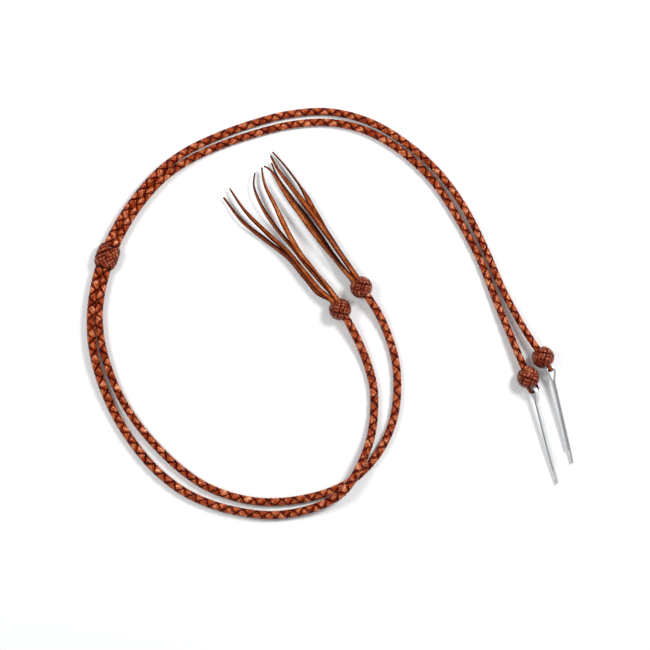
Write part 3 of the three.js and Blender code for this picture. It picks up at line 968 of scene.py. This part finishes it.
def tassel_strip(letter, number, side, layer, twists, route):
    root = bundle_point(letter, BUNDLE_ROOT_MM, side, layer)
    mouth = bundle_point(letter, BUNDLE_MOUTH_MM, side, layer)
    path = Path(catmull_rom(np.array([root, mouth, *route]) * MM))
    along = np.linspace(0, path.length, STRIP_RINGS)
    to_tip = np.clip((path.length - along) / (STRIP_TAPER_LENGTH_MM * MM), 0, 1)
    narrow = STRIP_TIP_SHARE + (1 - STRIP_TIP_SHARE) * to_tip**STRIP_TAPER_POWER
    from_knot = np.clip(along / (STRIP_SWELL_LENGTH_MM * MM), 0, 1)
    narrow = narrow * (STRIP_ROOT_SHARE + (1 - STRIP_ROOT_SHARE) * from_knot)
    waver = np.sin(along / MM * STRIP_WAVER_STEP + number * STRIP_WAVER_SHIFT)
    half_width = STRIP_HALF_WIDTH_MM * MM * narrow * (1 + STRIP_WAVER * waver)
    thin = STRIP_TIP_THICKNESS + (1 - STRIP_TIP_THICKNESS) * to_tip
    half_thickness = STRIP_HALF_THICKNESS_MM * MM * thin
    twist = np.radians(smooth_steps(twists, along / path.length))
    builder = Builder()
    ribbon(builder, path, along, half_width, half_thickness, twist, number / 4)
    piece = builder.build(f"tassel_lace_{letter}_{number}", STRIP_LEATHER)
    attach(piece, "string")
    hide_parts(f"tassel_{letter}_strip_{number}")


for tassel_letter, strips in TASSEL_STRIPS.items():
    for strip_number, strip in enumerate(strips, start=1):
        tassel_strip(tassel_letter, strip_number, *strip)

# ------------------------------------------------------- straps and pins

PIVOT_DISTANCE_MM = 6.4
PIN_SLOPE = math.radians(4.6)
PIN_HEADINGS = {"a": math.radians(-76.7), "b": math.radians(-75.5)}
PIN_ROLLS = {"a": 0.0, "b": math.radians(60)}

STRAP_HALF_WIDTH_MM = 0.8
STRAP_HALF_THICKNESS_MM = 0.45
STRAP_LEG_OFFSET_MM = 2.05
STRAP_CORNER_MM = 1.2
STRAP_LEG_END_MM = 5.6
STRAP_RINGS = 90
STRAP_LEG_POINTS = 16
STRAP_BEND_POINTS = 14
STRAP_MIDDLE_POINTS = 6
STRAP_TINT = 0.4

WIRE_HALF_WIDTH_MM = 1.0
WIRE_THICKNESS_MM = 1.05
# The wire's ends are rounded off over this length, down to this share.
WIRE_BLUNT_MM = 0.8
WIRE_BLUNT_SHARE = 0.25
WIRE_TAPER_MM = 16.0
WIRE_TIP_SHARE = 0.55
WIRE_LEG_GAP_MM = 0.2
EYE_INNER_RADIUS_MM = 1.2
WAIST_START_MM = 2.5
WAIST_HALF_WIDTH_MM = 1.24
EYE_END_MM = 4.6
STRAIGHT_START_MM = 6.6
SHORT_LEG_END_MM = 34.7
LONG_LEG_END_MM = 40.2
TIP_OFFSET_MM = 0.44
EYE_BENDS_DEGREES = (-90, -125, -155, 180, 155, 125, 90)
WIRE_RINGS = 420
WIRE_DOME_POINTS = 13
WIRE_FLAT_POINTS = 4


def pivot_of(letter):
    (x, y, z), heading = PIN_KNOTS[letter]
    return (
        x + PIVOT_DISTANCE_MM * math.cos(heading),
        y + PIVOT_DISTANCE_MM * math.sin(heading),
        z,
    )


def strap_line():
    """Out of the knot, across the pin's eye and back, in the local XZ plane."""
    leg, corner = STRAP_LEG_OFFSET_MM, STRAP_CORNER_MM
    inset = leg - corner
    bend = np.linspace(0, 1, STRAP_BEND_POINTS)[:, None]
    start = np.array([corner, 0, leg])
    middle = np.array([0, 0, leg])
    end = np.array([0, 0, inset])
    turn = start * (1 - bend) ** 2 + 2 * middle * bend * (1 - bend) + end * bend**2
    out = np.linspace((STRAP_LEG_END_MM, 0, leg), start, STRAP_LEG_POINTS, endpoint=False)
    half = np.vstack([out, turn])
    lower = half[::-1] * (1, 1, -1)
    across_eye = np.linspace((0, 0, inset), (0, 0, -inset), STRAP_MIDDLE_POINTS + 2)[1:-1]
    return np.vstack([half, across_eye, lower])


def strap(letter):
    _place, heading = PIN_KNOTS[letter]
    path = Path(strap_line() * MM, Y_AXIS)
    along = np.linspace(0, path.length, STRAP_RINGS)
    centre, side, up = path.at(along)
    across = STRIP_ACROSS[:, None] * (up * STRAP_HALF_WIDTH_MM * MM)[:, None]
    above = STRIP_ABOVE[:, None] * (side * STRAP_HALF_THICKNESS_MM * MM)[:, None]
    builder = Builder()
    builder.add(centre[:, None] + across + above, along, STRIP_ACROSS, STRAP_TINT)
    matrix = placed(pivot_of(letter), heading + math.pi, 0.0, -PIN_ROLLS[letter])
    piece = builder.build(f"strap_{letter}", STRIP_LEATHER, matrix)
    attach(piece, "string")
    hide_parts(f"pin_loop_{letter}")


def pin_line():
    """The wire's middle line: up the short leg, round the eye, down the long leg."""
    leg = (WIRE_LEG_GAP_MM + WIRE_THICKNESS_MM) / 2
    eye = EYE_INNER_RADIUS_MM + WIRE_THICKNESS_MM / 2
    ends = (SHORT_LEG_END_MM, SHORT_LEG_END_MM / 2, STRAIGHT_START_MM, EYE_END_MM)
    short_side = [(x, -leg, 0) for x in ends] + [(WAIST_START_MM, -WAIST_HALF_WIDTH_MM, 0)]
    bends = [math.radians(angle) for angle in EYE_BENDS_DEGREES]
    round_side = [(eye * math.cos(angle), eye * math.sin(angle), 0) for angle in bends]
    long_side = [(x, -y, z) for x, y, z in reversed(short_side)]
    return [*short_side, *round_side, *long_side, (LONG_LEG_END_MM, TIP_OFFSET_MM, 0)]


def wire_section():
    """Half-round: flat towards the eye, domed outwards. Across, and out from the middle."""
    angle = np.linspace(0, math.pi, WIRE_DOME_POINTS)
    dome = np.stack([np.cos(angle), np.sin(angle)], 1)
    dome[:, 0] *= WIRE_HALF_WIDTH_MM
    dome[:, 1] = dome[:, 1] * WIRE_THICKNESS_MM - WIRE_THICKNESS_MM / 2
    flat_x = np.linspace(-WIRE_HALF_WIDTH_MM, WIRE_HALF_WIDTH_MM, WIRE_FLAT_POINTS + 2)[1:-1]
    flat = np.stack([flat_x, np.full(WIRE_FLAT_POINTS, -WIRE_THICKNESS_MM / 2)], 1)
    return np.vstack([dome, flat])


def cotter_pin(letter):
    path = Path(catmull_rom(np.array(pin_line()) * MM))
    along = np.linspace(0, path.length, WIRE_RINGS)
    centre, side, up = path.at(along)
    section = wire_section() * MM
    from_end = np.minimum(along, path.length - along) / MM
    rounded = np.sqrt(1 - (1 - np.clip(from_end / WIRE_BLUNT_MM, 0, 1)) ** 2)
    blunt = WIRE_BLUNT_SHARE + (1 - WIRE_BLUNT_SHARE) * rounded
    slim = WIRE_TIP_SHARE + (1 - WIRE_TIP_SHARE) * np.clip(from_end / WIRE_TAPER_MM, 0, 1)
    across = section[:, 0][:, None] * up[:, None] * (blunt * slim)[:, None, None]
    out = section[:, 1][:, None] * -side[:, None] * blunt[:, None, None]
    shares = section[:, 0] / (WIRE_HALF_WIDTH_MM * MM)
    builder = Builder()
    builder.add(centre[:, None] + across + out, along, shares, tint=0.5)
    matrix = placed(pivot_of(letter), PIN_HEADINGS[letter], PIN_SLOPE, PIN_ROLLS[letter])
    piece = builder.build(f"split_pin_{letter}", STEEL, matrix)
    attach(piece, f"pin_{letter}")
    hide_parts(f"cotter_pin_{letter}")


for pin_letter in "ab":
    strap(pin_letter)
    cotter_pin(pin_letter)

# --------------------------------------------------------- floor and light

FLOOR_HALF_SIZE = 1.5
# Place, size and power of each softbox.
SOFTBOXES = [
    ((0.36, 0.26, 0.52), 0.22, 3.6),
    ((-0.34, 0.12, 0.44), 0.22, 1.3),
]
FILL_STRENGTH = 0.43
FILL_COLOUR = (0.96, 0.99, 1.0, 1.0)


def make_floor():
    mesh = bpy.data.meshes.new("floor")
    size = FLOOR_HALF_SIZE
    corners = [(-size, -size, 0), (size, -size, 0), (size, size, 0), (-size, size, 0)]
    mesh.from_pydata(corners, [], [(0, 1, 2, 3)])
    mesh.materials.append(floor_material())
    floor = bpy.data.objects.new("floor", mesh)
    bpy.context.scene.collection.objects.link(floor)


def make_softbox(number, place, size, power):
    data = bpy.data.lights.new(f"softbox_{number}", "AREA")
    data.shape = "DISK"
    data.size = size
    data.energy = power
    lamp = bpy.data.objects.new(f"softbox_{number}", data)
    lamp.location = place
    lamp.rotation_euler = (-Vector(place)).to_track_quat("-Z", "Y").to_euler()
    bpy.context.scene.collection.objects.link(lamp)


def make_world():
    world = bpy.data.worlds.new("studio")
    world.use_nodes = True
    background = world.node_tree.nodes["Background"]
    background.inputs["Color"].default_value = FILL_COLOUR
    background.inputs["Strength"].default_value = FILL_STRENGTH
    bpy.context.scene.world = world


make_floor()
make_world()
for softbox_number, softbox in enumerate(SOFTBOXES, start=1):
    make_softbox(softbox_number, *softbox)
bpy.context.scene.view_settings.view_transform = "Standard"
